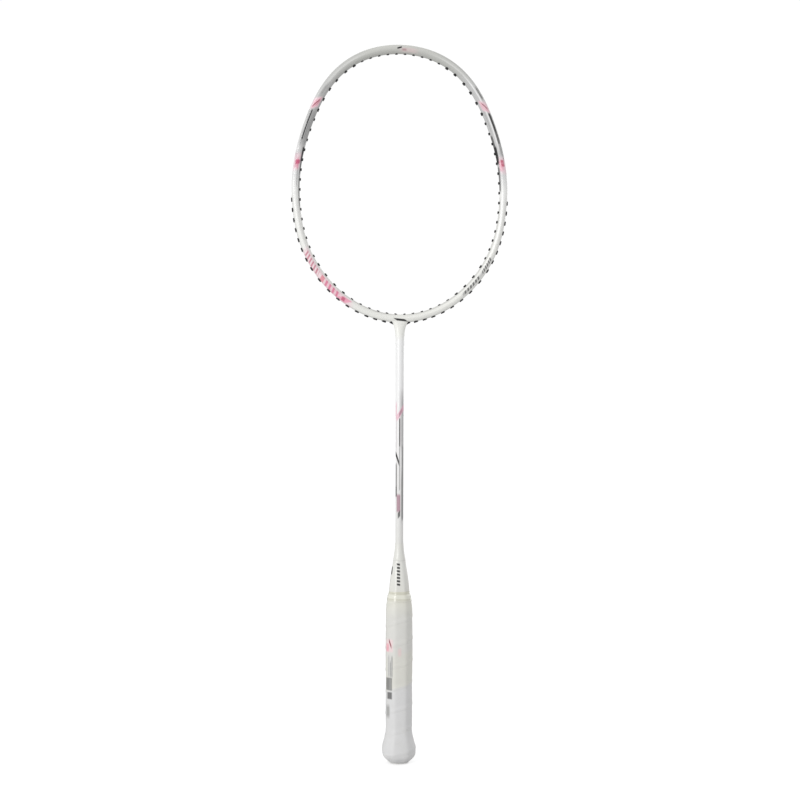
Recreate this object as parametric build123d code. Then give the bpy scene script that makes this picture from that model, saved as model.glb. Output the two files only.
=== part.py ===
from build123d import *
import os
from math import sin, cos, radians, degrees, hypot, pi

# Badminton racket, unstrung. Millimetres.
# Origin: centre of the butt's flat end. +Z runs up the shaft to the head's tip,
# X runs across the head, Y is the racket's thickness (the face shown to play is -Y).

os.makedirs("parts", exist_ok=True)

# ---------------------------------------------------------------- dimensions
RACKET_LENGTH = 675.0

# Head: the tube's centreline in polar form about (0, HEAD_Z). Angle 0 is the tip,
# 180 is the throat; the radius is a cosine series, so the head is symmetric.
HEAD_Z = 544.0
HEAD_SERIES = (111.772, -0.588, 14.375, 1.413, 0.699, -0.307, -0.195, -0.381, -0.081)
FRAME_DEPTH = (3.86, 0.18, 0.18)        # half depth in the plane of the strings: c0 + c1 cos t + c2 cos 2t
FRAME_HALF_THICK = (3.45, -0.12)        # half thickness across the plane: c0 + c1 cos t
FRAME_WALL = 1.0
SQUARE_IN = 0.38                        # fullness of the section's inner half: 0.5523 would be an ellipse, 1.0 a rectangle
SQUARE_OUT = 0.42                       # outer half, where there is no groove
SQUARE_GROOVE = 0.66                    # outer half beside the groove
TUBE_END = 175.4                        # the bent tube stops here, either side of the T joint

# String groove along the outside of the upper head
GROOVE_TO = 97.0                        # degrees each side of the tip
GROOVE_HALF = 1.7
GROOVE_DEEP = 1.0
GROOVE_RIM = 0.905                      # share of the depth left at the groove's rim

# String holes, right half, from the throat to the tip: angle along the head,
# and the tilt of the hole away from the frame's normal for those beside the shaft
HOLE_AT = (178.10, 174.12, 170.03, 165.90, 161.55, 157.00, 152.08, 146.68, 140.58, 134.55,
           129.72, 124.80, 119.93, 114.95, 109.95, 104.70, 99.40, 93.88, 88.33, 82.83,
           77.17, 71.58, 65.95, 60.30, 54.65, 49.45, 43.60, 37.90, 32.73, 26.90,
           22.12, 17.85, 13.75, 9.70, 5.78, 1.92)
HOLE_TILT = {0: 22.0, 1: 12.0, 2: 6.0}
BARREL_R = 1.3                          # single grommet barrel and its hole in the frame
BARREL_BORE = 0.8
WIDE_BARREL_R = 1.65                    # shared and tie-off grommets
WIDE_BARREL_BORE = 1.1
WIDE = {6, 7, 8, 9, 25, 26, 27, 28, 29, 30}
BARREL_PROUD = 0.85                     # how far the barrels stand out inside the head
BARREL_PROUD_LOW = 0.6                  # beside the shaft, holes 0..5
BARREL_PROUD_TOP = 0.35                 # top strip, holes 31..35
FLANGE = (4.2, 2.8)                     # length along the frame, width across it
FLANGE_PROUD = 0.9
FLANGE_PROUD_AT = {0: 1.5, 1: 1.1}      # beside the shaft they stand further out
FLANGE_SEAT = 0.65
STRIP_THICK = 0.6
STRIP_HALF = 1.55
LOWER = 17                              # holes 0..16 carry single flanged grommets

# T joint and throat
T_STEM_R = 2.5
T_STEM_BOTTOM = 372.0
T_ARM_TO = 165.0

# Shaft
SHAFT_BOTTOM = 76.0
SHAFT_TOP = 407.0
SHAFT_R_LOW = 3.75
SHAFT_R_HIGH = 3.88
SHAFT_BORE_R = 2.5
SHAFT_SEAT_Z = 392.0                    # above here the shaft is stepped down inside the throat moulding
SHAFT_SEAT_R = 3.45

# Handle: half widths of the octagonal section against height
CORE_PROFILE = ((1.8, 9.0), (3.4, 10.75), (5.4, 12.5), (8.6, 13.85), (12.4, 14.2), (16.2, 13.85),
                (20.2, 12.85), (24.0, 11.95), (28.0, 11.3), (33.0, 11.0))
GRIP_PROFILE = ((1.0, 9.4), (1.9, 10.7), (3.3, 12.1), (5.4, 14.1), (8.8, 15.55), (12.4, 15.85), (16.2, 15.5),
                (20.2, 14.45), (24.0, 13.45), (28.0, 12.75), (33.0, 12.45))
CORE_HALF = 11.0
CORE_TOP = 146.0
GRIP_HALF = 12.45
GRIP_STRAIGHT_TOP = 143.0
GRIP_TOP = 157.4
GRIP_TOP_PROFILE = ((143.0, 12.45), (148.0, 11.9), (152.5, 11.3), (157.4, 10.45))
Y_SHARE = 0.92                          # section depth over width
FLAT_SHARE = 0.46                       # front flat's half length over half width
CORE_BORE_R = 3.0                       # weight-saving bore below the shaft's end
SPIGOT_R = 7.0
SPIGOT_TOP = 166.0
ADHESIVE = 0.15
PLATE_HALF = 8.9
PLATE_THICK = 1.8

# Cone: (height, half width, corner rounding share)
CONE_PROFILE = ((146.0, 10.95, 0.12), (152.0, 10.2, 0.12), (157.5, 9.65, 0.16), (163.3, 9.3, 0.34),
                (170.9, 8.62, 0.5), (178.4, 7.64, 0.64), (185.9, 6.45, 0.78), (190.2, 5.9, 0.88))
CONE_RING = (190.2, 191.6, 5.85)
CONE_NECK = ((191.6, 5.6), (194.0, 5.3), (197.0, 4.8), (200.0, 4.4), (203.0, 4.12), (206.0, 3.98))
BAND_THICK = 0.25
BAND_LOW = ((152.0, 11.37), (154.5, 10.95), (157.5, 10.45))    # the surface it lies on: first the grip
BAND_HIGH = ((157.5, 10.45), (158.6, 9.58), (161.0, 9.44))     # then the cone

# Staple that holds the start of the grip on the butt
STAPLE_Z = 12.4
STAPLE_WIDTH = 10.0
STAPLE_WIRE = 0.6
STAPLE_LEG = 6.0


# ---------------------------------------------------------------- head curve
def series(c, t):
    return sum(a * cos(k * t) for k, a in enumerate(c))


def on_curve(t):
    r = series(HEAD_SERIES, t)
    return r * sin(t), HEAD_Z + r * cos(t)


def frame_at(t):
    """Centreline point, unit tangent and outward unit normal, each as (x, z)."""
    h = 1e-4
    (ax, az), (bx, bz) = on_curve(t - h), on_curve(t + h)
    length = hypot(bx - ax, bz - az)
    tx, tz = (bx - ax) / length, (bz - az) / length
    return on_curve(t), (tx, tz), (-tz, tx)


def section_plane(deg):
    (x, z), (tx, tz), (nx, nz) = frame_at(radians(deg))
    return Plane(origin=(x, 0, z), x_dir=(nx, 0, nz), z_dir=(tx, 0, tz))


def half_depth(deg):
    return series(FRAME_DEPTH, radians(deg))


def half_thick(deg):
    return series(FRAME_HALF_THICK, radians(deg))


def groove_share(deg):
    """1 where the outer groove runs, 0 well below its ends, smooth between."""
    u = (abs(deg) - (GROOVE_TO - 3.0)) / 10.0
    u = min(1.0, max(0.0, u))
    return 1.0 - u * u * (3 - 2 * u)


def outer_half(deg):
    g = groove_share(deg)
    return half_depth(deg) * (1 + g * (1 / GROOVE_RIM - 1))


def oval(plane, out, inn, half, full_out=0.5523, full_in=0.5523):
    """Section of two halves: out and inn are their half depths, full_* how far each bulges towards a rectangle."""
    k, j = full_out, full_in
    edges = [
        Bezier((out, 0), (out, k * half), (k * out, half), (0, half)),
        Bezier((0, half), (-j * inn, half), (-inn, j * half), (-inn, 0)),
        Bezier((-inn, 0), (-inn, -j * half), (-j * inn, -half), (0, -half)),
        Bezier((0, -half), (k * out, -half), (out, -k * half), (out, 0)),
    ]
    return plane * make_face(edges)


def stations(a, b, step):
    n = max(2, int(round((b - a) / step)))
    return [a + (b - a) * i / n for i in range(n + 1)]


def fullness(deg):
    return SQUARE_OUT + groove_share(deg) * (SQUARE_GROOVE - SQUARE_OUT)


def outer_section(deg):
    return oval(section_plane(deg), outer_half(deg), half_depth(deg), half_thick(deg), fullness(deg), SQUARE_IN)


def bore_section(deg, gap=0.0):
    out = half_depth(deg) - FRAME_WALL - groove_share(deg) * (GROOVE_DEEP - 0.1)
    return oval(section_plane(deg), out - gap, half_depth(deg) - FRAME_WALL - gap, half_thick(deg) - 0.95 - gap, fullness(deg) - 0.05, SQUARE_IN)


def band_section(deg, low, high, half):
    """Rectangle across the groove, between two heights over the groove's floor."""
    floor = half_depth(deg) - GROOVE_DEEP
    plane = section_plane(deg)
    pts = [(floor + low, -half), (floor + high, -half), (floor + high, half), (floor + low, half)]
    return plane * make_face(Polyline(*pts, close=True))


# ---------------------------------------------------------------- string holes
class Hole:
    """One string hole: its axis leaves the frame along d from c on the centreline."""

    def __init__(self, index, side):
        deg = HOLE_AT[index] * side
        (x, z), (tx, tz), (nx, nz) = frame_at(radians(deg))
        a = half_depth(deg)
        tilt = radians(HOLE_TILT.get(index, 0.0)) * side
        # inner mouth stays on the normal, the outer mouth swings away from the shaft
        ix, iz = x - a * nx, z - a * nz
        dx, dz = nx * cos(tilt) - nz * sin(tilt), nx * sin(tilt) + nz * cos(tilt)
        self.index, self.side, self.deg, self.a = index, side, deg, a
        self.d = (dx, dz)
        self.c = (ix + a * dx / max(cos(tilt), 0.5), iz + a * dz / max(cos(tilt), 0.5))
        self.a_axis = a / max(cos(tilt), 0.5)
        self.wide = index in WIDE
        self.r = WIDE_BARREL_R if self.wide else BARREL_R
        self.bore = WIDE_BARREL_BORE if self.wide else BARREL_BORE
        self.inner_end = -self.a_axis - (BARREL_PROUD_LOW if index < 6 else BARREL_PROUD_TOP if index > 30 else BARREL_PROUD)
        self.outer_end = self.a_axis + FLANGE_PROUD_AT.get(index, FLANGE_PROUD)

    def plane(self, s):
        (cx, cz), (dx, dz) = self.c, self.d
        # x_dir along the frame, z_dir out along the hole
        return Plane(origin=(cx + s * dx, 0, cz + s * dz), x_dir=(dz, 0, -dx), z_dir=(dx, 0, dz))

    def cylinder(self, r, s0, s1):
        return extrude(self.plane(s0) * Circle(r), s1 - s0)

    def seat(self):
        deep = FLANGE_SEAT + 0.6 * abs(sin(radians(HOLE_TILT.get(self.index, 0.0)))) * 2.1
        return self.a_axis - deep

    def pad(self, s0, s1):
        return extrude(self.plane(s0) * SlotOverall(*FLANGE), s1 - s0)


HOLES = [Hole(i, side) for side in (1, -1) for i in range(len(HOLE_AT))]


def drilled(reach):
    """All string holes as one list of cylinders, for holes whose angle passes the test."""
    return [h.cylinder(h.r, -h.a_axis - 4.0, h.a_axis + 4.0) for h in HOLES if reach(h)]


def seats(reach):
    return [h.pad(h.seat(), h.a_axis + 4.0) for h in HOLES if h.index < LOWER and reach(h)]


# ---------------------------------------------------------------- head tube
tube = loft([outer_section(d) for d in stations(-TUBE_END, TUBE_END, 7.5)])
tube_bore = loft([bore_section(d) for d in stations(-TUBE_END, TUBE_END, 7.5)])
groove = loft([band_section(d, 0.0, 4.0, GROOVE_HALF) for d in stations(-GROOVE_TO, GROOVE_TO, 7.5)])
head_hoop = tube - tube_bore - groove
head_hoop = head_hoop - drilled(lambda h: True) - seats(lambda h: True)

# ---------------------------------------------------------------- T joint
arms = loft([bore_section(d, 0.03) for d in stations(T_ARM_TO, 360 - T_ARM_TO, 3.0)])
stem = Location((0, 0, T_STEM_BOTTOM)) * Cylinder(T_STEM_R, 417.0 - T_STEM_BOTTOM, align=(Align.CENTER, Align.CENTER, Align.MIN))
near_throat = lambda h: abs(h.deg) > 160
t_solid = arms + stem
t_joint = t_solid - drilled(near_throat) - seats(near_throat)

# ---------------------------------------------------------------- shaft
shaft_outline = [
    (SHAFT_BORE_R, SHAFT_BOTTOM), (SHAFT_R_LOW, SHAFT_BOTTOM), (SHAFT_R_LOW, 200.0),
    (SHAFT_R_HIGH, SHAFT_SEAT_Z), (SHAFT_SEAT_R, SHAFT_SEAT_Z), (SHAFT_SEAT_R, SHAFT_TOP),
    (SHAFT_BORE_R, SHAFT_TOP),
]
shaft_tube = revolve(Plane.XZ * make_face(Polyline(*shaft_outline, close=True)), Axis.Z)
shaft_blank = revolve(Plane.XZ * make_face(Polyline((0, 190.0), (SHAFT_R_LOW, 190.0), (SHAFT_R_LOW, 200.0), (SHAFT_R_HIGH, SHAFT_SEAT_Z), (0, SHAFT_SEAT_Z), close=True)), Axis.Z)

# ---------------------------------------------------------------- throat moulding
# A sleeve round the T joint with the frame's own section, flaring into the shaft.
throat_ring = loft([outer_section(d) for d in stations(TUBE_END, 360 - TUBE_END, 2.4)])


flare = loft([oval(Plane(origin=(0, 0, z), x_dir=(1, 0, 0), z_dir=(0, 0, 1)), rx, rx, ry)
              for z, rx, ry in ((SHAFT_SEAT_Z, 3.93, 3.93), (397.0, 4.02, 3.92), (402.0, 4.35, 3.88), (405.5, 4.7, 3.82),
                                (408.5, 5.2, 3.72), (411.0, 6.1, 3.58), (413.5, 7.7, 3.3), (416.0, 9.6, 2.8))])
shaft_seat = Location((0, 0, SHAFT_SEAT_Z - 1)) * Cylinder(SHAFT_SEAT_R, SHAFT_TOP - SHAFT_SEAT_Z + 1, align=(Align.CENTER, Align.CENTER, Align.MIN))
throat_moulding = (throat_ring + flare) - t_solid - shaft_seat
throat_moulding = throat_moulding - drilled(lambda h: abs(h.deg) > 172) - seats(lambda h: abs(h.deg) > 172)
head_hoop = head_hoop - flare


# ---------------------------------------------------------------- grommets
def single(h):
    """Flanged grommet: pad on the outside of the frame, barrel through both walls."""
    pad = h.pad(h.seat(), h.outer_end)
    try:
        pad = fillet(pad.faces().sort_by(lambda f: (f.center().X - h.c[0]) * h.d[0] + (f.center().Z - h.c[1]) * h.d[1])[-1].edges(), 0.45)
    except Exception:
        pass
    body = pad + h.cylinder(h.r, h.inner_end, h.seat() + 0.2)
    return body - h.cylinder(h.bore, h.inner_end - 1, h.outer_end + 1)


def pick(side, indices):
    return [h for h in HOLES if h.side == side and h.index in indices]


def strip(a, b, holes):
    """Grommet strip lying in the outer groove, one barrel per hole."""
    base = loft([band_section(d, 0.02, STRIP_THICK, STRIP_HALF) for d in stations(a, b, 4.0)])
    for h in holes:
        base = base + h.cylinder(h.r, h.inner_end, h.a_axis - GROOVE_DEEP + 0.4)
    return base - [h.cylinder(h.bore, h.inner_end - 1, h.a_axis + 3) for h in holes]


def between(i, j):
    return (HOLE_AT[i] + HOLE_AT[j]) / 2


strip_gap = 0.25                        # degrees of head angle
side_lo, side_hi = GROOVE_TO - 0.4, between(24, 25) + strip_gap
shoulder_lo, shoulder_hi = between(24, 25) - strip_gap, between(30, 31) + strip_gap
top_to = between(30, 31) - strip_gap

nodes = {}
nodes["head_hoop"] = head_hoop
nodes["t_joint"] = t_joint
nodes["throat_moulding"] = throat_moulding
nodes["shaft_tube"] = shaft_tube
nodes["throat_grommets"] = [single(h) for s in (1, -1) for h in pick(s, {0, 1, 2, 3})]
nodes["lower_grommets_left"] = [single(h) for h in pick(-1, {4, 5, 10, 11, 12, 13, 14, 15, 16})]
nodes["lower_grommets_right"] = [single(h) for h in pick(1, {4, 5, 10, 11, 12, 13, 14, 15, 16})]
nodes["corner_grommets_left"] = [single(h) for h in pick(-1, {6, 7, 8, 9})]
nodes["corner_grommets_right"] = [single(h) for h in pick(1, {6, 7, 8, 9})]
nodes["side_strip_left"] = strip(-side_lo, -side_hi, pick(-1, set(range(17, 25))))
nodes["side_strip_right"] = strip(side_hi, side_lo, pick(1, set(range(17, 25))))
nodes["shoulder_strip_left"] = strip(-shoulder_lo, -shoulder_hi, pick(-1, set(range(25, 31))))
nodes["shoulder_strip_right"] = strip(shoulder_hi, shoulder_lo, pick(1, set(range(25, 31))))
nodes["top_strip"] = strip(-top_to, top_to, pick(1, set(range(31, 36))) + pick(-1, set(range(31, 36))))


# ---------------------------------------------------------------- handle
def octagon(z, half, rounding=0.12):
    wx, wy, cx = half, half * Y_SHARE, half * FLAT_SHARE
    cy = wy - (wx - cx)
    pts = [(wx, -cy), (wx, cy), (cx, wy), (-cx, wy), (-wx, cy), (-wx, -cy), (-cx, -wy), (cx, -wy)]
    face = make_face(Polyline(*pts, close=True))
    face = fillet(face.vertices(), half * rounding)
    return Location((0, 0, z)) * face


def post(r, z0, z1):
    return Location((0, 0, z0)) * Cylinder(r, z1 - z0, align=(Align.CENTER, Align.CENTER, Align.MIN))


def prism(half, z0, z1):
    return extrude(octagon(z0, half), z1 - z0)


core_body = loft([octagon(z, h) for z, h in CORE_PROFILE]) + prism(CORE_HALF, 33.0, CORE_TOP)
core_blank = core_body
core_body = core_body + post(SPIGOT_R, CORE_TOP, SPIGOT_TOP)
core_body = core_body - post(SHAFT_R_LOW, SHAFT_BOTTOM, SPIGOT_TOP + 1) - post(CORE_BORE_R, 0, SHAFT_BOTTOM)

# staple over the back flat of the flare
staple_y = CORE_PROFILE[4][1] * Y_SHARE
crown = Location((0, staple_y, STAPLE_Z)) * Box(STAPLE_WIDTH, STAPLE_WIRE, STAPLE_WIRE)
legs = [Location((s * (STAPLE_WIDTH - STAPLE_WIRE) / 2, staple_y - STAPLE_LEG / 2, STAPLE_Z)) * Box(STAPLE_WIRE, STAPLE_LEG, STAPLE_WIRE) for s in (1, -1)]
butt_staple = crown + legs[0] + legs[1]
handle_core = core_body - butt_staple

butt_plate = extrude(octagon(0, PLATE_HALF), PLATE_THICK)
butt_plate = chamfer(butt_plate.faces().sort_by(Axis.Z)[0].edges(), 0.45)

grip_adhesive = prism(CORE_HALF + ADHESIVE, 34.0, CORE_TOP) - prism(CORE_HALF, 33.0, CORE_TOP + 1)

# cone: octagonal at the handle, round at the shaft
cone_blank = loft([octagon(z, h, r) for z, h, r in CONE_PROFILE])


neck_outline = [(0, CONE_RING[0] - 2.0), (CONE_RING[2] * 0.9, CONE_RING[0] - 2.0), (CONE_RING[2], CONE_RING[0]), (CONE_RING[2], CONE_RING[1])]
neck_outline += [(r, z) for z, r in CONE_NECK] + [(0, CONE_NECK[-1][0])]
neck = revolve(Plane.XZ * make_face(Polyline(*neck_outline, close=True)), Axis.Z)
cone_blank = cone_blank + neck
cone_cap = cone_blank - (post(SHAFT_R_LOW, 150.0, 200.0) + shaft_blank) - post(SPIGOT_R, CORE_TOP - 1, SPIGOT_TOP)

# grip: one sleeve that stands for the wound tape
grip_low = loft([octagon(z, h) for z, h in GRIP_PROFILE])
grip_mid = prism(GRIP_HALF, 33.0, GRIP_STRAIGHT_TOP)
grip_high = loft([octagon(z, h) for z, h in GRIP_TOP_PROFILE])
grip_blank = grip_low + grip_mid + grip_high
cone_inside = loft([octagon(z, h, r) for z, h, r in CONE_PROFILE])
grip_wrap = grip_blank - core_blank - prism(CORE_HALF + ADHESIVE, 34.0, CORE_TOP) - cone_inside - post(SPIGOT_R, 100, 160)
grip_wrap = grip_wrap - butt_plate - butt_staple

# elastic band over the grip's end
band_blank = loft([octagon(z, h + BAND_THICK) for z, h in BAND_LOW])
band_blank = band_blank + loft([octagon(z, h + BAND_THICK, 0.14) for z, h in BAND_HIGH])
finishing_band = band_blank - grip_blank - cone_blank - core_blank - post(SPIGOT_R, 100, 166)

nodes["cone_cap"] = cone_cap
nodes["handle_core"] = handle_core
nodes["butt_plate"] = butt_plate
nodes["butt_staple"] = butt_staple
nodes["grip_adhesive"] = grip_adhesive
nodes["grip_wrap"] = grip_wrap
nodes["finishing_band"] = finishing_band


# ---------------------------------------------------------------- export
def as_shape(value):
    solids = []
    for item in (value if isinstance(value, list) else [value]):
        solids += list(item.solids())
    solids = [s for s in solids if s.volume > 0.05]
    return solids[0] if len(solids) == 1 else Compound(children=solids)


for name, value in nodes.items():
    shape = as_shape(value)
    shape.label = name
    export_step(shape, f"parts/{name}.step")
    print(name, len(shape.solids()), "solids", round(shape.volume, 1), "mm3", flush=True)
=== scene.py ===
"""A racket standing on its butt, handle down and head up.

+Z runs from the butt to the tip, X runs across the face and -Y is the front.
Seen from the front, -X is the left. Sizes are in millimetres and become
metres through MM; shader positions are object coordinates in millimetres.
"""
import math
from functools import cached_property

import bpy
from mathutils import Matrix, Vector


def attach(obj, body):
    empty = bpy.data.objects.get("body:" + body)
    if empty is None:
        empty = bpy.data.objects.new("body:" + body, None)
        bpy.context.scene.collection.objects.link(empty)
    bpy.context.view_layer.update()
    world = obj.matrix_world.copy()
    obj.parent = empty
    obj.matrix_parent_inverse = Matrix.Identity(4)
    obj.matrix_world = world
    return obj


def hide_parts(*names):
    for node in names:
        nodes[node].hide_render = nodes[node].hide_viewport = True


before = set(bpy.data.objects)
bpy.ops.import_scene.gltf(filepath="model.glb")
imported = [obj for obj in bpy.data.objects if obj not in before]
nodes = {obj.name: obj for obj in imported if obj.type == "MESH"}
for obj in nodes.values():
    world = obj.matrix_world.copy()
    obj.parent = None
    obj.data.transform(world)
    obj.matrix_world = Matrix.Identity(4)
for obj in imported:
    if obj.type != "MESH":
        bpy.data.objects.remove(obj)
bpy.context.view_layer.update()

scene = bpy.context.scene

MM = 0.001
LENGTH = 675.0            # butt to tip


# ---------------------------------------------------------------- colours
def srgb(*channels):
    """Linear rgba from three sRGB channels, 0 to 255."""
    linear = []
    for channel in channels:
        value = channel / 255.0
        linear.append(value / 12.92 if value <= 0.04045 else ((value + 0.055) / 1.055) ** 2.4)
    return (*linear, 1.0)


def grey(level):
    return srgb(level, level, level)


WHITE = (1, 1, 1, 1)
PINK = srgb(233, 120, 152)
PALE_PINK = srgb(250, 214, 224)
BLACK = srgb(22, 22, 24)


# ---------------------------------------------------------------- shader nodes
class Wire:
    """A node's output; arithmetic on it adds math nodes."""

    def __init__(self, net, socket):
        self.net = net
        self.socket = socket

    def __add__(self, other):
        return self.net.math("ADD", self, other)

    def __radd__(self, other):
        return self.net.math("ADD", other, self)

    def __sub__(self, other):
        return self.net.math("SUBTRACT", self, other)

    def __rsub__(self, other):
        return self.net.math("SUBTRACT", other, self)

    def __mul__(self, other):
        return self.net.math("MULTIPLY", self, other)


class Net:
    """The node tree of a material or world, with short calls for filling it."""

    def __init__(self, owner, output_kind="ShaderNodeOutputMaterial"):
        self.owner = owner
        owner.use_nodes = True
        self.tree = owner.node_tree
        self.tree.nodes.clear()
        self.out = self.tree.nodes.new(output_kind)

    def put(self, socket, value):
        """Link a wire to an input, or set the input to a plain value."""
        if isinstance(value, Wire):
            self.tree.links.new(value.socket, socket)
        else:
            socket.default_value = value

    def node(self, kind, output, inputs, **properties):
        """Add a node and return the wire from one of its outputs."""
        node = self.tree.nodes.new(kind)
        for name, value in properties.items():
            setattr(node, name, value)
        for name, value in inputs.items():
            self.put(node.inputs[name], value)
        return Wire(self, node.outputs[output])

    @cached_property
    def position(self):
        """Object coordinates in mm."""
        metres = self.node("ShaderNodeTexCoord", "Object", {})
        return self.node("ShaderNodeVectorMath", 0, {0: metres, "Scale": 1 / MM},
                         operation="SCALE")

    @cached_property
    def axes(self):
        """x, y and z in mm."""
        x = self.node("ShaderNodeSeparateXYZ", 0, {0: self.position})
        return [Wire(self, socket) for socket in x.socket.node.outputs]

    def math(self, operation, *values):
        return self.node("ShaderNodeMath", 0, dict(enumerate(values)), operation=operation)

    def map_range(self, value, low, high, to_low=0.0, to_high=1.0):
        return self.node("ShaderNodeMapRange", "Result", {
            "Value": value, "From Min": low, "From Max": high,
            "To Min": to_low, "To Max": to_high}, clamp=True)

    def rise(self, value, at, soft):
        """0 below at, 1 above it, over a width soft."""
        return self.map_range(value, at - soft / 2, at + soft / 2)

    def span(self, value, low, high, soft):
        """1 between low and high."""
        return self.rise(value, low, soft) - self.rise(value, high, soft)

    def mix(self, factor, first, second, blend="MIX"):
        # on a mix node 6, 7 and output 2 are the colour sockets
        return self.node("ShaderNodeMix", 2, {0: factor, 6: first, 7: second},
                         data_type="RGBA", blend_type=blend)

    def noise(self, scale, detail=2.0, rough=0.5, vector=None):
        return self.node("ShaderNodeTexNoise", "Fac", {
            "Vector": vector or self.position, "Scale": scale,
            "Detail": detail, "Roughness": rough})

    def stretched(self, *scale):
        """Position with its axes scaled, to draw a texture out along one of them."""
        return self.node("ShaderNodeMapping", 0, {"Vector": self.position, "Scale": scale})

    def ramp(self, factor, stops):
        """Colour ramp through (position, colour) stops."""
        color = self.node("ShaderNodeValToRGB", 0, {0: factor})
        elements = color.socket.node.color_ramp.elements
        while len(elements) < len(stops):
            elements.new(0.5)
        # all positions first, since moving a stop can reorder the stops
        for element, (place, _) in zip(elements, stops):
            element.position = place
        for element, (_, tint) in zip(elements, stops):
            element.color = tint
        return color

    def bump(self, height, depth, strength):
        """Normal from a height map; depth in mm."""
        return self.node("ShaderNodeBump", 0, {
            "Strength": strength, "Distance": depth * MM, "Height": height})

    def principled(self, color, roughness, **inputs):
        named = {name.replace("_", " "): value for name, value in inputs.items()}
        return self.node("ShaderNodeBsdfPrincipled", 0, {
            "Base Color": color, "Roughness": roughness, **named})

    def finish(self, shader):
        """Link the last shader to the output and return the material or world."""
        self.put(self.out.inputs[0], shader)
        return self.owner


def new_net(name):
    return Net(bpy.data.materials.new(name))


def tint_where(net, color, mask, tint, strength, where=None):
    """Lay a tint over the colour inside a mask, optionally on one side only."""
    if where is not None:
        mask = mask * where
    if strength != 1.0:
        mask = mask * strength
    return net.mix(mask, color, tint)


def upright_marks(net, color, marks, where=None):
    """Print a table of marks bounded in x and z, each sheared by slant (mm up per mm of x)."""
    x, _, z = net.axes
    for x_low, x_high, z_low, z_high, tint, strength, slant, soft_x, soft_z in marks:
        height = z - x * slant if slant else z
        mask = net.span(x, x_low, x_high, soft_x) * net.span(height, z_low, z_high, soft_z)
        color = tint_where(net, color, mask, tint, strength, where)
    return color


# ---------------------------------------------------------------- head lacquer
HEAD_Z = 544.0            # height of the head's centre
# cosine series of the tube centreline's radius about that centre, by angle from the tip
HEAD_SERIES = (111.772, -0.588, 14.375, 1.413, 0.699, -0.307, -0.195, -0.381, -0.081)

# angle from the tip as a share of 180 degrees, colour
HEAD_COLORS = (
    (0.0, srgb(208, 208, 203)), (0.10, srgb(206, 207, 202)), (0.22, srgb(208, 208, 207)),
    (0.30, srgb(196, 196, 195)), (0.40, srgb(214, 213, 213)), (0.47, grey(226)),
    (0.52, srgb(243, 243, 241)), (0.70, srgb(246, 246, 242)), (1.0, srgb(245, 245, 240)),
)

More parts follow.
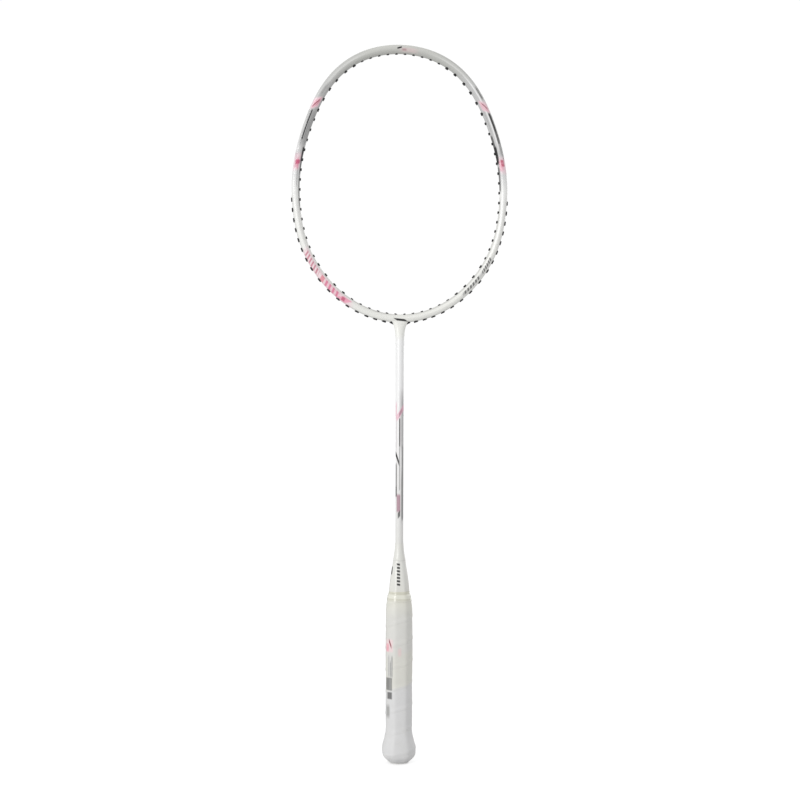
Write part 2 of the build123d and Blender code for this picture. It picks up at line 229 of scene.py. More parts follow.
# side, angle from, to, offset from, to, tint, strength, slant (degrees per mm),
# edge softness in angle, in offset, and for striped marks the period and stripe share
HEAD_MARKS_AND_PAINTED_LIGHT = (
    # painted shade along both edges of the lower half, where the tube turns away from the light
    ("both", 97.0, 176.5, -4.2, -2.5, srgb(196, 196, 192), 0.55, 0.0, 4.0, 0.4),
    ("both", 97.0, 176.5, 2.8, 4.4, srgb(206, 206, 202), 0.5, 0.0, 4.0, 0.4),
    # left half: long grey panel with a dark centre line
    ("left", 51.0, 69.0, -4.5, 0.7, grey(165), 0.75, 0.0, 3.0, 0.5),
    ("left", 51.0, 70.0, 0.7, 2.7, grey(158), 0.8, 0.0, 3.0, 0.5),
    ("left", 50.9, 66.8, 0.5, 1.55, BLACK, 1.0, 0.0, 0.7, 0.35),
    ("left", 57.0, 66.0, -0.9, -0.3, grey(120), 0.6, 0.4, 2.0, 0.35),
    # painted highlight along the tube's centre on the upper left
    ("left", 17.0, 38.0, 0.2, 1.7, srgb(230, 230, 228), 0.5, 0.0, 8.0, 1.0),
    ("left", 36.5, 43.0, -0.9, 1.4, srgb(160, 160, 159), 0.7, 0.6, 3.0, 1.2),
    ("left", 71.0, 74.5, 1.2, 4.5, srgb(190, 188, 189), 0.6, 0.8, 1.5, 0.6),
    # right half: dark outer panel and light inner panel, with a painted highlight along the
    # tube's centre
    ("right", 37.5, 43.6, 1.5, 3.0, srgb(92, 92, 91), 0.85, 0.0, 1.4, 0.8),
    ("right", 30.0, 73.0, -4.5, -1.0, grey(204), 0.6, 0.0, 6.0, 0.8),
    ("right", 46.0, 60.0, -2.4, -1.6, grey(160), 0.55, 0.0, 4.0, 0.4),
    # painted highlights along the tube's centre on the upper right
    ("right", 16.0, 40.0, -0.3, 0.9, srgb(238, 238, 236), 0.55, 0.0, 10.0, 0.7),
    ("right", 32.0, 69.0, -0.6, 0.7, grey(247), 0.95, 0.0, 6.0, 0.5),
    # painted shade along the outer edge of the upper arc on both halves
    ("both", 14.0, 42.0, 2.2, 4.6, srgb(186, 186, 184), 0.45, 0.0, 8.0, 0.7),
    ("right", 50.2, 66.6, 0.95, 3.0, grey(46), 0.97, 0.3, 0.8, 0.5),
    ("right", 60.5, 66.6, 1.7, 2.2, grey(170), 0.7, 0.0, 1.2, 0.3),
    ("right", 66.6, 73.5, 0.9, 3.3, grey(150), 0.75, 0.0, 2.4, 0.8),
    # dark line along the inner edge, with a short grey line beside it
    ("left", 70.2, 78.6, -4.5, -1.9, BLACK, 1.0, 0.0, 1.2, 0.5),
    ("left", 78.0, 85.6, -4.5, -2.4, grey(60), 0.9, 0.0, 1.2, 0.4),
    ("left", 85.6, 104.0, -4.5, -2.3, srgb(108, 108, 106), 0.85, 0.0, 3.0, 0.5),
    ("left", 82.5, 92.5, -0.9, -0.1, grey(164), 0.6, 0.0, 2.0, 0.4),
    ("right", 61.4, 69.0, -4.5, -2.3, grey(70), 0.85, 0.0, 1.2, 0.4),
    ("right", 67.8, 77.6, -4.5, -1.7, BLACK, 1.0, 0.0, 1.6, 0.5),
    ("right", 79.2, 93.2, -4.5, -2.5, srgb(96, 96, 95), 0.85, 0.0, 1.5, 0.4),
    # slanted pink bands at the shoulders
    ("left", 43.9, 49.3, -2.6, 3.8, PALE_PINK, 0.85, 0.5, 1.4, 0.9),
    ("left", 44.7, 48.8, -2.2, 2.6, PINK, 0.36, 0.8, 1.0, 1.0),
    ("right", 43.9, 49.3, -2.6, 3.8, PALE_PINK, 0.72, 0.5, 1.4, 0.9),
    ("right", 44.7, 48.8, -2.2, 2.6, PINK, 0.27, 0.8, 1.0, 1.0),
    ("left", 45.8, 47.0, -1.5, 2.7, srgb(150, 52, 72), 0.85, 1.2, 0.5, 0.7),
    ("left", 47.7, 48.3, -2.6, 0.4, srgb(190, 104, 124), 0.5, 1.2, 0.5, 0.7),
    ("right", 45.2, 46.2, -0.8, 2.6, srgb(144, 58, 76), 0.85, 1.25, 0.5, 0.6),
    # pink lozenges at the sides, with fine lines beside them
    ("both", 74.4, 83.2, -1.9, 4.3, PALE_PINK, 0.62, 0.15, 2.2, 1.2),
    ("left", 76.4, 81.2, -0.4, 2.6, PINK, 0.45, 0.7, 1.2, 0.9),
    ("left", 77.8, 80.2, -1.7, 2.5, srgb(204, 62, 112), 0.85, 0.15, 0.7, 0.6),
    ("left", 80.0, 82.8, -0.9, 0.6, srgb(226, 120, 156), 0.6, 0.0, 1.4, 0.6),
    ("left", 74.6, 82.4, 2.0, 2.7, srgb(156, 106, 126), 0.6, 0.0, 1.2, 0.35),
    ("right", 76.2, 81.6, -2.2, 1.6, srgb(240, 150, 176), 0.5, 0.0, 1.2, 0.9),
    ("right", 75.6, 79.3, -0.6, 2.4, srgb(196, 80, 110), 0.82, 0.2, 0.7, 0.6),
    ("right", 77.2, 78.0, -1.4, 2.0, srgb(236, 170, 188), 0.5, 0.0, 0.5, 0.6),
    ("right", 73.0, 76.2, 2.2, 3.0, srgb(116, 100, 104), 0.6, 0.0, 1.0, 0.35),
    # slanted pink bars, lower left
    ("left", 124.8, 157.8, -2.2, 4.0, PALE_PINK, 0.6, 0.1, 2.2, 1.1),
    ("left", 126.2, 137.8, -0.9, 3.3, srgb(196, 90, 120), 0.76, 0.2, 0.45, 0.6, 1.86, 0.5),
    ("left", 139.6, 141.8, -1.1, 3.5, srgb(232, 112, 134), 0.72, 0.1, 0.5, 0.6),
    ("left", 142.4, 151.8, -0.9, 3.4, srgb(244, 186, 204), 0.5, 0.1, 0.8, 0.8),
    ("left", 142.6, 151.4, -1.1, 3.5, srgb(224, 98, 142), 0.78, 0.1, 0.5, 0.6, 2.2, 0.5),
    ("left", 152.6, 157.0, -1.3, 3.3, srgb(250, 158, 188), 0.78, -0.6, 0.5, 0.6),
    ("left", 152.8, 154.5, -0.4, 2.8, srgb(192, 64, 104), 0.75, 0.0, 0.5, 0.6),
    # grey bars, lower right
    ("right", 128.4, 150.2, -1.0, 1.9, srgb(196, 196, 195), 0.55, 0.2, 1.2, 0.9),
    ("right", 128.6, 136.6, -0.9, 1.8, srgb(84, 84, 83), 0.85, 0.2, 0.4, 0.5, 1.45, 0.62),
    ("right", 139.0, 149.9, -0.9, 1.7, srgb(78, 78, 77), 0.85, 0.2, 0.4, 0.5, 1.75, 0.62),
)


def head_coordinates(net):
    """Angle from the tip in degrees (0 to 180), offset outward from the centreline, side by x."""
    x, _, z = net.axes
    height = z - HEAD_Z
    side = net.math("SIGN", x)
    across = net.math("ABSOLUTE", x)
    angle = net.math("ARCTAN2", across, height)
    radius = net.math("SQRT", across * across + height * height)
    centreline = HEAD_SERIES[0]
    for order, coefficient in enumerate(HEAD_SERIES[1:], 1):
        centreline = centreline + net.math("COSINE", angle * float(order)) * coefficient
    return angle * (180 / math.pi), radius - centreline, side


def head_marks_and_painted_light(net, color, angle, offset, side):
    where = {"both": None, "left": net.math("LESS_THAN", side, 0.0),
             "right": net.math("GREATER_THAN", side, 0.0)}
    for (side_name, angle_low, angle_high, offset_low, offset_high,
         tint, strength, slant, soft_angle, soft_offset, *stripes) in HEAD_MARKS_AND_PAINTED_LIGHT:
        along = angle - offset * slant if slant else angle
        mask = (net.span(along, angle_low, angle_high, soft_angle)
                * net.span(offset, offset_low, offset_high, soft_offset))
        if stripes:
            period, share = stripes
            saw = net.math("FRACT", (along - angle_low) * (1.0 / period))
            mask = mask * net.span(saw, 0.12, 0.12 + share, soft=0.22)
        color = tint_where(net, color, mask, tint, strength, where[side_name])
    return color


def tip_and_throat_marks(net, color, angle, offset, side):
    x, _, z = net.axes
    signed = angle * side
    # pale patch and short dash just right of the tip:
    # signed angle from, to, softness, offset from, to, softness, strength, tint
    for low, high, soft, inner, outer, soft_offset, strength, tint in (
        (0.0, 6.8, 2.6, -2.5, 1.5, 1.3, 0.5, srgb(232, 208, 208)),
        (0.5, 2.3, 0.8, -1.4, 0.6, 0.8, 0.6, srgb(168, 118, 126)),
    ):
        mask = net.span(signed, low, high, soft) * net.span(offset, inner, outer, soft_offset)
        color = net.mix(mask * strength, color, tint)
    # small black slanted mark at the tip
    slanted = offset - signed * 0.55
    mask = net.span(signed, -1.55, 0.3, soft=0.4) * net.span(slanted, 0.8, 2.4, soft=0.4)
    color = net.mix(mask, color, BLACK)
    # slim black lozenge across the throat
    height = z - 416.35
    along = x - height * -1.5
    mask = (net.span(along, -4.4, 4.9, soft=1.4)
            * net.span(height + x * 0.10, -1.15, 0.9, soft=0.6))
    return net.mix(mask, color, BLACK)


def head_lacquer():
    net = new_net("pearl_lacquer_head")
    angle, offset, side = head_coordinates(net)
    color = net.ramp(angle * (1 / 180.0), HEAD_COLORS)
    # painted light and shade: on the upper head the lacquer is painted brighter on the outer
    # edge, which faces the light from above, and darker on the inner edge, which is in shade
    upper = 1.0 - net.rise(angle, at=88.0, soft=14.0)
    painted_light_level = net.map_range(offset, -3.6, 2.4, to_low=0.80, to_high=1.06)
    painted_light_gain = (painted_light_level - 1.0) * upper + 1.0
    painted_light_color = net.node("ShaderNodeCombineColor", 0, {channel: painted_light_gain for channel in range(3)})
    color = net.mix(1.0, color, painted_light_color, blend="MULTIPLY")

    color = head_marks_and_painted_light(net, color, angle, offset, side)
    color = tip_and_throat_marks(net, color, angle, offset, side)
    # down the throat the lacquer turns into the shaft's white
    color = net.mix(1.0 - net.rise(net.axes[2], at=399.0, soft=7.0), color, grey(248))

    flake = net.noise(scale=9.0, detail=3.0, rough=0.7)
    color = net.mix(net.rise(flake, at=0.62, soft=0.1) * 0.05, color, WHITE)
    return net.finish(net.principled(
        color, 0.30 + net.noise(scale=0.25, detail=3.0) * 0.10,
        Normal=net.bump(net.noise(scale=0.9), depth=0.02, strength=0.35),
        Coat_Weight=0.35, Coat_Roughness=0.12, IOR=1.5))


# ---------------------------------------------------------------- shaft lacquer
# x from, to, z from, to, tint, strength, slant, edge softness in x, in z
SHAFT_MARKS = (
    (-0.5, 5.0, 298, 348, srgb(206, 204, 205), 0.6, 0.0, 1.0, 12.0),
    (1.0, 1.9, 228, 272, grey(176), 0.8, 0.0, 0.5, 12.0),
    (1.7, 3.2, 228, 298, grey(118), 0.85, 0.0, 0.5, 3.0),
    (1.4, 2.8, 290, 345, grey(172), 0.7, 0.0, 0.6, 14.0),
    (2.9, 5.0, 228, 300, grey(205), 0.5, 0.0, 0.5, 10.0),
    (-5.0, -2.9, 322, 338, srgb(240, 184, 200), 0.65, 0.0, 0.5, 4.0),
    (-5.0, -2.9, 294, 322, srgb(212, 208, 210), 0.6, 0.0, 0.5, 6.0),
    (-3.0, 5.0, 325.5, 331.5, srgb(238, 180, 200), 0.75, 1.6, 0.4, 1.4),
    (-1.2, 1.6, 326.5, 330.2, srgb(150, 105, 122), 0.6, 1.9, 0.6, 1.2),
    (-0.95, 0.1, 297, 323.5, srgb(62, 60, 61), 0.95, 0.0, 0.35, 1.6),
    (-4.6, -0.6, 275.6, 280.4, grey(20), 1.0, -3.3, 0.4, 1.2),
    (-5.0, -2.7, 250, 281, grey(116), 0.8, 0.0, 0.4, 2.5),
    (-0.95, 0.0, 256, 297, grey(160), 0.75, 0.0, 0.3, 2.0),
    (-2.9, 0.3, 235.5, 252, srgb(168, 122, 140), 0.85, 0.0, 0.6, 2.5),
    (-2.0, 0.2, 231.5, 237, srgb(48, 48, 50), 0.85, 1.2, 0.5, 1.4),
    (-5.0, -3.0, 250, 259, grey(62), 0.75, 0.0, 0.4, 1.5),
)


def shaft_lacquer():
    net = new_net("pearl_lacquer_shaft")
    color = net.ramp(net.axes[2] * (1 / LENGTH), (
        (0.28, srgb(228, 228, 223)), (0.33, srgb(230, 230, 228)),
        (0.42, srgb(240, 239, 239)), (0.52, grey(247)), (1.0, grey(248))))
    color = upright_marks(net, color, SHAFT_MARKS)
    return net.finish(net.principled(
        color, 0.26 + net.noise(scale=0.2, detail=3.0) * 0.10,
        Normal=net.bump(net.noise(scale=0.8), depth=0.02, strength=0.3),
        Coat_Weight=0.4, Coat_Roughness=0.1, IOR=1.5))


# ---------------------------------------------------------------- other CAD materials
def cone_plastic():
    net = new_net("white_gloss_moulding")
    x, y, z = net.axes
    color = net.ramp(z * (1 / LENGTH), (
        (0.22, srgb(227, 226, 219)), (0.27, srgb(231, 231, 226)), (0.30, srgb(228, 228, 223))))
    # a column of black bars, 3.1 mm apart, down the front and back
    column = net.span(x, -3.15, -0.05, soft=0.3) * net.span(z, 166.3, 188.0, soft=0.3)
    saw = net.math("FRACT", (z - 166.35 + x * 0.16) * (1 / 3.1))
    bars = net.span(saw, 0.12, 0.72, soft=0.14)
    color = net.mix(column * bars * 0.95, color, grey(24))
    # one small leaning bar on the front's left
    front = net.math("LESS_THAN", y, 0.0)
    bar = (net.span(x + z * -0.13, -32.2, -30.2, soft=0.4)
           * net.span(z, 177.0, 184.2, soft=0.8) * front)
    color = net.mix(bar, color, grey(36))
    # the seam where the octagon meets the ring
    seam = net.span(z, 189.7, 190.3, soft=0.3)
    color = net.mix(seam * 0.25, color, srgb(180, 180, 176))
    return net.finish(net.principled(
        color, 0.28 + net.noise(scale=0.3, detail=3.0) * 0.12,
        Normal=net.bump(net.noise(scale=1.4), depth=0.02, strength=0.4),
        Coat_Weight=0.25, Coat_Roughness=0.15, IOR=1.5))


def plate_plastic():
    net = new_net("butt_plate_plastic")
    x, y, _ = net.axes
    radius = net.math("SQRT", x * x + y * y)
    color = net.mix(net.noise(scale=0.12, detail=3.0), srgb(228, 228, 225), srgb(216, 216, 213))
    groove = net.span(radius, 6.4, 6.8, soft=0.15)
    # the groove is painted darker as painted shade in the recess
    color = net.mix(groove * 0.5, color, grey(120))
    scuff = net.rise(net.noise(scale=1.2, detail=4.0, rough=0.7), at=0.66, soft=0.06)
    color = net.mix(scuff * 0.12, color, srgb(150, 148, 144))
    height = groove * -0.6 + net.noise(scale=1.5, detail=3.0) * 0.15
    return net.finish(net.principled(
        color, 0.36 + scuff * 0.25, Normal=net.bump(height, depth=0.12, strength=0.7), IOR=1.5))


def nylon():
    net = new_net("black_nylon")
    color = net.mix(net.noise(scale=0.7, detail=3.0), srgb(16, 16, 17), srgb(34, 34, 36))
    normal = net.bump(net.noise(scale=3.5, detail=3.0), depth=0.03, strength=0.5)
    return net.finish(net.principled(
        color, 0.38 + net.noise(scale=1.1) * 0.2, Normal=normal, IOR=1.53))


def carbon():
    net = new_net("carbon_moulding")
    bands = net.node(
        "ShaderNodeTexWave", "Fac", {"Vector": net.position, "Scale": 0.6, "Distortion": 1.2},
        wave_type="BANDS", bands_direction="DIAGONAL")
    color = net.mix(bands, srgb(20, 20, 22), srgb(46, 46, 50))
    normal = net.bump(bands, depth=0.05, strength=0.5)
    return net.finish(net.principled(color, 0.42, Normal=normal, IOR=1.55))


def wood():
    net = new_net("handle_hardwood")
    along_grain = net.stretched(1.0, 1.0, 0.06)
    rings = net.node(
        "ShaderNodeTexWave", "Fac",
        {"Vector": along_grain, "Scale": 0.18, "Distortion": 5.0, "Detail": 3.0},
        wave_type="RINGS", rings_direction="Z")
    pores = net.noise(scale=2.2, detail=4.0, rough=0.6, vector=along_grain)
    color = net.mix(rings, srgb(214, 182, 134), srgb(186, 148, 98))
    color = net.mix(net.rise(pores, at=0.62, soft=0.1) * 0.5, color, srgb(150, 112, 72))
    normal = net.bump(pores, depth=0.08, strength=0.6)
    return net.finish(net.principled(color, 0.62, Normal=normal, IOR=1.45))


def steel():
    net = new_net("staple_wire")
    streak = net.stretched(0.2, 4.0, 4.0)
    color = net.mix(net.noise(scale=2.0, detail=3.0, vector=streak),
                    srgb(178, 178, 180), srgb(140, 140, 143))
    normal = net.bump(net.noise(scale=3.0, vector=streak), depth=0.02, strength=0.5)
    return net.finish(net.principled(color, 0.3, Normal=normal, Metallic=1.0))


def cloth_tape():
    net = new_net("cloth_backed_tape")
    x, _, z = net.axes
    weave = net.math("SINE", z * 7.0) * net.math("SINE", x * 7.0) * 0.5 + 0.5
    color = net.mix(weave, srgb(226, 216, 190), srgb(206, 194, 164))
    normal = net.bump(weave, depth=0.05, strength=0.6)
    return net.finish(net.principled(color, 0.8, Normal=normal, IOR=1.45))


# ---------------------------------------------------------------- grip materials
PITCH = 20.5              # rise of the wound tape per turn
SEAM_Z = 136.8            # height of one seam on the +X edge

# x from, to, z from, to, tint, strength, slant, edge softness in x, in z
GRIP_MARKS = (
    # pink blocks, a dark slanted bar and a pale pink patch
    (-12.4, -7.0, 105.0, 116.6, srgb(247, 212, 217), 0.6, 0.0, 1.2, 2.0),
    (-12.4, -10.4, 105.4, 112.4, srgb(238, 152, 170), 0.65, 0.0, 0.8, 2.0),
    (-10.3, -8.3, 81.2, 84.6, srgb(140, 40, 62), 0.92, -3.2, 0.5, 1.0),
    (-2.4, 0.8, 101.6, 108.4, srgb(238, 202, 204), 0.5, 0.0, 1.8, 3.0),
    # fading fine upright lines on a pale panel
    (-11.2, -7.4, 81.0, 101.5, srgb(208, 208, 207), 0.6, 0.0, 1.2, 4.0),
    (-10.8, -10.1, 81.4, 101.0, srgb(178, 178, 177), 0.85, 0.0, 0.4, 3.5),
    (-9.4, -8.8, 81.4, 96.0, srgb(128, 128, 127), 0.85, 0.0, 0.4, 3.5),
    (-8.1, -7.3, 81.4, 101.0, srgb(138, 138, 137), 0.85, 0.0, 0.4, 2.5),
    # plain grey blocks
    (-12.3, -7.7, 69.0, 80.6, grey(112), 0.84, 0.0, 0.8, 1.2),
    (-9.8, -8.6, 69.8, 79.8, srgb(170, 170, 169), 0.6, 0.0, 0.4, 0.8),
    (-11.5, -7.7, 60.8, 67.2, grey(92), 0.88, 0.0, 0.8, 1.2),
    (-12.2, -9.7, 43.6, 54.6, srgb(146, 146, 144), 0.72, 0.0, 1.2, 4.0),
)


def grip_leather():
    net = new_net("synthetic_leather_wrap")
    _, y, z = net.axes
    turn = net.math("ARCTAN2", y, net.axes[0]) * (1 / (2 * math.pi))
    # the 20 whole turns keep the phase positive
    phase = net.math("FRACT", (z - SEAM_Z) * (1 / PITCH) - turn + 20.0)
    color = net.mix(net.noise(scale=0.06, detail=3.0), srgb(224, 224, 220), srgb(218, 217, 212))
    # yellower toward the top
    color = net.mix(net.rise(z, at=143.0, soft=16.0) * 0.5, color, srgb(232, 231, 216))
    # a warm stretch of tape with a cool one below it
    for low, high, strength, tint in ((77.0, 108.0, 0.5, srgb(223, 222, 212)),
                                      (-30.0, 77.0, 0.85, srgb(220, 220, 221))):
        along = z - turn * PITCH
        color = net.mix(net.span(along, low, high, soft=3.0) * strength, color, tint)
    # painted shade in the crease just below each lap and a painted highlight on the lap's raised
    # edge just above it
    color = net.mix(net.rise(phase, at=0.985, soft=0.02) * 0.10, color, srgb(186, 185, 180))
    color = net.mix(net.span(phase, 0.0, 0.05, soft=0.06) * 0.15, color, srgb(236, 236, 232))
    # handling marks
    soil = net.rise(net.noise(scale=0.10, detail=4.0, rough=0.65), at=0.58, soft=0.25)
    color = net.mix(soil * 0.10, color, srgb(190, 187, 178))
    color = upright_marks(net, color, GRIP_MARKS, where=net.math("LESS_THAN", y, 0.0))

    cell_edge = net.node("ShaderNodeTexVoronoi", "Distance",
                         {"Vector": net.position, "Scale": 1.5}, feature="DISTANCE_TO_EDGE")
    cell = net.math("MINIMUM", cell_edge * 3.0, 1.0)
    fine = net.noise(scale=4.0, detail=3.0, rough=0.6)
    normal = net.bump(cell * 0.5 + fine * 0.5, depth=0.07, strength=0.65)
    return net.finish(net.principled(
        color, 0.46 + fine * 0.12, Normal=normal, IOR=1.45, Sheen_Weight=0.08))


def band_film():
    net = new_net("cream_film")
    x, _, z = net.axes
    color = net.mix(net.noise(scale=0.3, detail=3.0), srgb(221, 220, 205), srgb(215, 213, 196))
    streaks = net.noise(scale=0.9, detail=3.0, rough=0.6, vector=net.stretched(0.25, 0.25, 2.2))
    color = net.mix(streaks * 0.3, color, srgb(236, 235, 222))
    # a painted highlight ring in the middle, where the film rounds over the grip's top, with a
    # line of painted shade at the film's step above it and below it: z from, to, softness
    tilted = z + x * 0.03
    for low, high, soft, strength, tint in (
        (154.6, 158.2, 0.9, 0.65, srgb(240, 240, 229)),
        (158.9, 159.7, 0.5, 0.45, srgb(186, 184, 166)),
        (153.4, 154.1, 0.4, 0.35, srgb(190, 188, 172)),
    ):
        color = net.mix(net.span(tilted, low, high, soft) * strength, color, tint)
    # greyer at the bottom edge
    below = 1.0 - net.rise(z, at=153.2, soft=2.0)
    color = net.mix(below * 0.7, color, srgb(224, 223, 214))
    return net.finish(net.principled(
        color, 0.2 + streaks * 0.12, Normal=net.bump(streaks, depth=0.08, strength=0.5),
        IOR=1.5, Coat_Weight=0.5, Coat_Roughness=0.12))


# ---------------------------------------------------------------- shading of the CAD nodes
def smooth(piece, sharp_angle=32.0):
    """Smooth shading, kept sharp at edges steeper than the angle in degrees."""
    mesh = piece.data
    if "custom_normal" in mesh.attributes:
        mesh.attributes.remove(mesh.attributes["custom_normal"])
    mesh.shade_smooth()
    mesh.set_sharp_from_angle(angle=math.radians(sharp_angle))


def paint(name, material, sharp_angle=32.0):
    piece = nodes[name]
    piece.data.materials.clear()
    piece.data.materials.append(material)
    smooth(piece, sharp_angle)


head = head_lacquer()
shaft = shaft_lacquer()
black_nylon = nylon()
paint("head_hoop", head, sharp_angle=40)
paint("throat_moulding", head, sharp_angle=40)
paint("shaft_tube", shaft)
paint("cone_cap", cone_plastic(), sharp_angle=20)
paint("butt_plate", plate_plastic())
paint("t_joint", carbon())
paint("handle_core", wood())
paint("butt_staple", steel())
paint("grip_adhesive", cloth_tape())
for name in nodes:
    if "grommets" in name or "strip" in name:
        paint(name, black_nylon)

# ---------------------------------------------------------------- wound grip
# octagon proportions, as shares of the half width in x
Y_SHARE, FLAT_SHARE = 0.92, 0.46
DIAGONAL_SHARE = (1.0 + Y_SHARE - (1.0 - FLAT_SHARE)) / math.sqrt(2)
# angle of each face and its distance from the axis, from +X round
FACES = [(k * math.pi / 4, (1.0, DIAGONAL_SHARE, Y_SHARE, DIAGONAL_SHARE)[k % 4])
         for k in range(8)]

# z, half width of the tape's outer face
GRIP_OUT = (
    (0.9, 9.2), (1.2, 9.7), (1.9, 10.7), (3.3, 12.1), (5.4, 14.1), (8.8, 15.5), (12.4, 15.8),
    (16.2, 15.4), (20.2, 14.35), (24.0, 13.35), (28.0, 12.6), (33.0, 12.2), (45.0, 12.38),
    (60.0, 12.40), (75.0, 12.25), (90.0, 12.48), (105.0, 12.62), (120.0, 12.52),
    (135.0, 12.34), (143.0, 12.36), (148.0, 11.85), (152.5, 11.25), (157.3, 10.45))
# z, half width of its inner face
GRIP_IN = (
    (0.9, 9.05), (1.9, 9.4), (3.4, 10.9), (5.4, 12.65), (8.6, 14.0), (12.4, 14.35),
    (16.2, 14.0), (20.2, 13.0), (24.0, 12.1), (28.0, 11.45), (33.0, 11.2), (143.0, 11.2),
    (146.0, 11.1), (152.0, 10.4), (157.3, 9.85))
GRIP_BOTTOM, GRIP_TOP = GRIP_OUT[0][0], GRIP_OUT[-1][0]
INNER_LEVELS = (GRIP_BOTTOM, 1.9, 3.4, 5.4, 8.6, 12.4, 16.2, 20.2, 24.0, 28.0, 33.0,
                60.0, 90.0, 120.0, 146.0, 150.0, 154.0, GRIP_TOP)
# z, half width of the film's outer face
FILM = ((151.6, 11.67), (152.5, 11.58), (155.0, 11.13), (157.0, 10.8),
        (157.9, 10.45), (158.8, 9.97), (160.0, 9.79), (161.2, 9.70))
FILM_BOTTOM, FILM_HEIGHT, FILM_THICKNESS, FILM_STEPS = 151.8, 9.2, 0.13, 44


def octagon_radius(angle, power):
    """Radius of a rounded octagon of half width 1; a higher power has sharper corners."""
    total = 0.0
    for face_angle, distance in FACES:
        facing = math.cos(angle - face_angle)
        if facing > 0:
            total += (facing / distance) ** power
    return total ** (-1.0 / power)


AROUND = 224
ANGLES = [2 * math.pi * i / AROUND for i in range(AROUND)]
GRIP_R = [octagon_radius(angle, 15.0) for angle in ANGLES]
CORE_R = [octagon_radius(angle, 30.0) for angle in ANGLES]


def clamp01(value):
    return min(1.0, max(0.0, value))


def hermite(table, at):
    """Smooth monotone curve through (position, value) pairs."""
    if at <= table[0][0]:
        return table[0][1]
    if at >= table[-1][0]:
        return table[-1][1]
    slopes = [(high[1] - low[1]) / (high[0] - low[0]) for low, high in zip(table, table[1:])]

    def tangent(i):
        if i == 0:
            return slopes[0]
        if i == len(slopes):
            return slopes[-1]
        before, after = slopes[i - 1], slopes[i]
        return 0.0 if before * after <= 0 else 2 * before * after / (before + after)

    i = next(i for i in range(len(slopes)) if at <= table[i + 1][0])
    (start, first), (end, last) = table[i], table[i + 1]
    step = end - start
    s = (at - start) / step
    return ((2 * s ** 3 - 3 * s ** 2 + 1) * first + (s ** 3 - 2 * s ** 2 + s) * step * tangent(i)
            + (-2 * s ** 3 + 3 * s ** 2) * last + (s ** 3 - s ** 2) * step * tangent(i + 1))


def unevenness(x, y, z):
    """Fixed waviness of a few hundredths of a millimetre."""
    return (math.sin(x * 0.41 + z * 0.13 + 1.3) * math.sin(z * 0.29 + y * 0.37)
            + 0.5 * math.sin(z * 0.83 + x * 0.7 + y * 0.9)) * 0.03


def tape_phase(x, y, z):
    """0 to 1 across the tape's width at a point on the grip, from the lap upward."""
    turn = math.atan2(y, x) / (2 * math.pi)
    return ((z - SEAM_Z) / PITCH - turn) % 1.0


def lap_height(phase):
    """Height of the tape over its bed: a rounded lower edge on the turn below, then sinking."""
    across = phase * PITCH
    edge = 1.0 - math.exp(-(across / 0.75) ** 2)
    settle = clamp01(1.0 - (across - 2.4) / 3.2)
    settle = settle * settle * (3 - 2 * settle)
    lap = 0.32 * settle * edge
    pillow = 0.10 * math.sin(math.pi * clamp01((across - 3.0) / (PITCH - 3.2)))
    crease = -0.05 * math.exp(-((PITCH - across) / 0.7) ** 2)
    return lap + pillow + crease


def polar(radius, angle, z):
    return radius * math.cos(angle), radius * math.sin(angle), z


def shell(name, rings_out, rings_in):
    """Closed shell: outer rings upward, then inner rings downward."""
    rings = rings_out + rings_in[::-1]
    verts = [tuple(c * MM for c in point) for ring in rings for point in ring]
    faces = []
    for ring in range(len(rings)):
        here = ring * AROUND
        above = (ring + 1) % len(rings) * AROUND
        for i in range(AROUND):
            j = (i + 1) % AROUND
            faces.append((here + i, here + j, above + j, above + i))
    mesh = bpy.data.meshes.new(name)
    mesh.from_pydata(verts, [], faces)
    mesh.validate()
    mesh.update()
    piece = bpy.data.objects.new(name, mesh)
    scene.collection.objects.link(piece)
    return piece


def build_grip():
    levels = []
    z = GRIP_BOTTOM
    while z < GRIP_TOP:
        levels.append(z)
        z += 0.22 if z < 6 else 0.45    # finer over the butt's edge
    levels.append(GRIP_TOP)
    outer = []
    for z in levels:
        half = hermite(GRIP_OUT, z)
        # the laps fade out toward both ends
        fade = clamp01((z - 3.0) / 6.0) * clamp01((GRIP_TOP - z) / 5.0)
        ring = []
        for angle, share in zip(ANGLES, GRIP_R):
            radius = half * share / GRIP_R[0]
            bed = polar(radius, angle, z)
            radius += fade * (lap_height(tape_phase(*bed)) - 0.06 + unevenness(*bed))
            ring.append(polar(radius, angle, z))
        outer.append(ring)
    inner = []
    for z in INNER_LEVELS:
        half = hermite(GRIP_IN, z)
        inner.append([polar(half * share, angle, z) for angle, share in zip(ANGLES, CORE_R)])
    return shell("grip_tape_wound", outer, inner)


def build_band():
    outer, inner = [], []
    for k in range(FILM_STEPS + 1):
        up = k / FILM_STEPS
        ring_out, ring_in = [], []
        for angle, share in zip(ANGLES, GRIP_R):
            # both edges run slightly out of level
            lean = 0.4 * math.sin(angle - 0.6)
            z = (FILM_BOTTOM + up * FILM_HEIGHT + lean * (1 - up)
                 + 0.25 * math.sin(angle + 1.9) * up)
            # a second turn of film between two spiral steps, and fine ridges
            turn = (angle / (2 * math.pi)) % 1.0
            start, end = (1.0 / (1.0 + math.exp(-(z - step_z - 2.6 * turn) / 0.10))
                          for step_z in (153.4, 156.6))
            ridge = 0.07 * start - 0.07 * end + 0.02 * math.sin(z * 5.1 + angle * 2)
            radius = hermite(FILM, z) * share / GRIP_R[0] + ridge
            ring_out.append(polar(radius, angle, z))
            ring_in.append(polar(radius - FILM_THICKNESS, angle, z))
        outer.append(ring_out)
        inner.append(ring_in)
    return shell("finishing_band_wound", outer, inner)


for piece, material, sharp_angle, replaced in (
    (build_grip(), grip_leather(), 60, "grip_wrap"),
    (build_band(), band_film(), 50, "finishing_band"),
):
    piece.data.materials.append(material)
    smooth(piece, sharp_angle)
    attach(piece, "root")
    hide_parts(replaced)


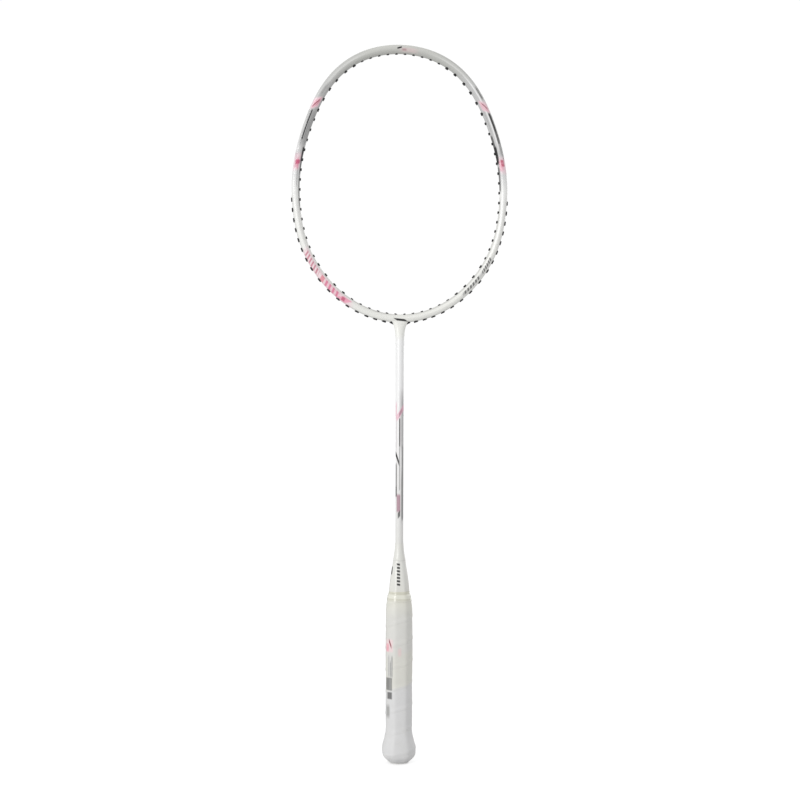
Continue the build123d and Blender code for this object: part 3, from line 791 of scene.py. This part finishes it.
# ---------------------------------------------------------------- floor, light, camera
def floor_material():
    """Pale floor that glows a little to the camera only."""
    net = new_net("pale_floor")
    seen = net.node("ShaderNodeLightPath", "Is Camera Ray", {})
    glow = net.node("ShaderNodeEmission", 0, {"Strength": seen * 0.47})
    matt = net.principled((0.8, 0.8, 0.8, 1), 0.8)
    return net.finish(net.node("ShaderNodeAddShader", 0, {0: matt, 1: glow}))


def build_floor(half=30.0, drop=0.0006):
    """Square floor just under the butt; sizes in metres."""
    mesh = bpy.data.meshes.new("floor")
    corners = [(-half, -half, 0), (half, -half, 0), (half, half, 0), (-half, half, 0)]
    mesh.from_pydata(corners, [], [(0, 1, 2, 3)])
    floor = bpy.data.objects.new("floor", mesh)
    floor.location = (0, 0, -drop)
    scene.collection.objects.link(floor)
    mesh.materials.append(floor_material())


def studio_world(seen_strength, light_strength):
    """White world, brighter to the camera than as a light."""
    net = Net(bpy.data.worlds.new("studio"), "ShaderNodeOutputWorld")
    camera_ray = net.node("ShaderNodeLightPath", "Is Camera Ray", {})
    light, seen = (net.node("ShaderNodeBackground", 0, {0: WHITE, 1: strength})
                   for strength in (light_strength, seen_strength))
    return net.finish(net.node("ShaderNodeMixShader", 0, {0: camera_ray, 1: light, 2: seen}))


def sun(name, toward, strength, spread):
    """Sun standing in the direction toward; spread in degrees."""
    data = bpy.data.lights.new(name, "SUN")
    data.energy = strength
    data.angle = math.radians(spread)
    light = bpy.data.objects.new(name, data)
    scene.collection.objects.link(light)
    light.rotation_mode = "QUATERNION"
    light.rotation_quaternion = Vector(toward).to_track_quat("Z", "Y")


CAMERA_DISTANCE = 1.4127               # metres
CAMERA_HEIGHT = 0.3408                 # metres
CAMERA_SHIFT = 0.25 * MM               # to the camera's right
CAMERA_TURN = math.radians(-6.6)       # from straight in front, toward -X
CAMERA_ROLL = math.radians(0.157)
VIEW_WIDTH = 753.44 * MM               # width in view at the racket


def build_camera():
    data = bpy.data.cameras.new("camera")
    camera = bpy.data.objects.new("camera", data)
    scene.collection.objects.link(camera)
    scene.camera = camera
    data.sensor_width = 36.0
    data.lens = 36.0 * CAMERA_DISTANCE / VIEW_WIDTH
    data.clip_start, data.clip_end = 0.05, 60.0
    back = Vector((math.sin(CAMERA_TURN), -math.cos(CAMERA_TURN), 0.0))
    aside = Vector((math.cos(CAMERA_TURN), math.sin(CAMERA_TURN), 0.0)) * CAMERA_SHIFT
    camera.location = Vector((0, 0, CAMERA_HEIGHT)) + back * CAMERA_DISTANCE + aside
    camera.rotation_mode = "QUATERNION"
    roll = Matrix.Rotation(CAMERA_ROLL, 3, "Z").to_quaternion()
    camera.rotation_quaternion = (-back).to_track_quat("-Z", "Y") @ roll


build_floor()
scene.world = studio_world(seen_strength=1.02, light_strength=0.60)
sun("key", toward=(-0.70, -0.66, 0.28), strength=1.28, spread=35)
sun("back_fill", toward=(0.75, 0.55, 0.35), strength=0.7, spread=50)
build_camera()

scene.view_settings.view_transform = "Standard"
scene.view_settings.look = "None"
scene.view_settings.exposure = 0.0
scene.view_settings.gamma = 1.0
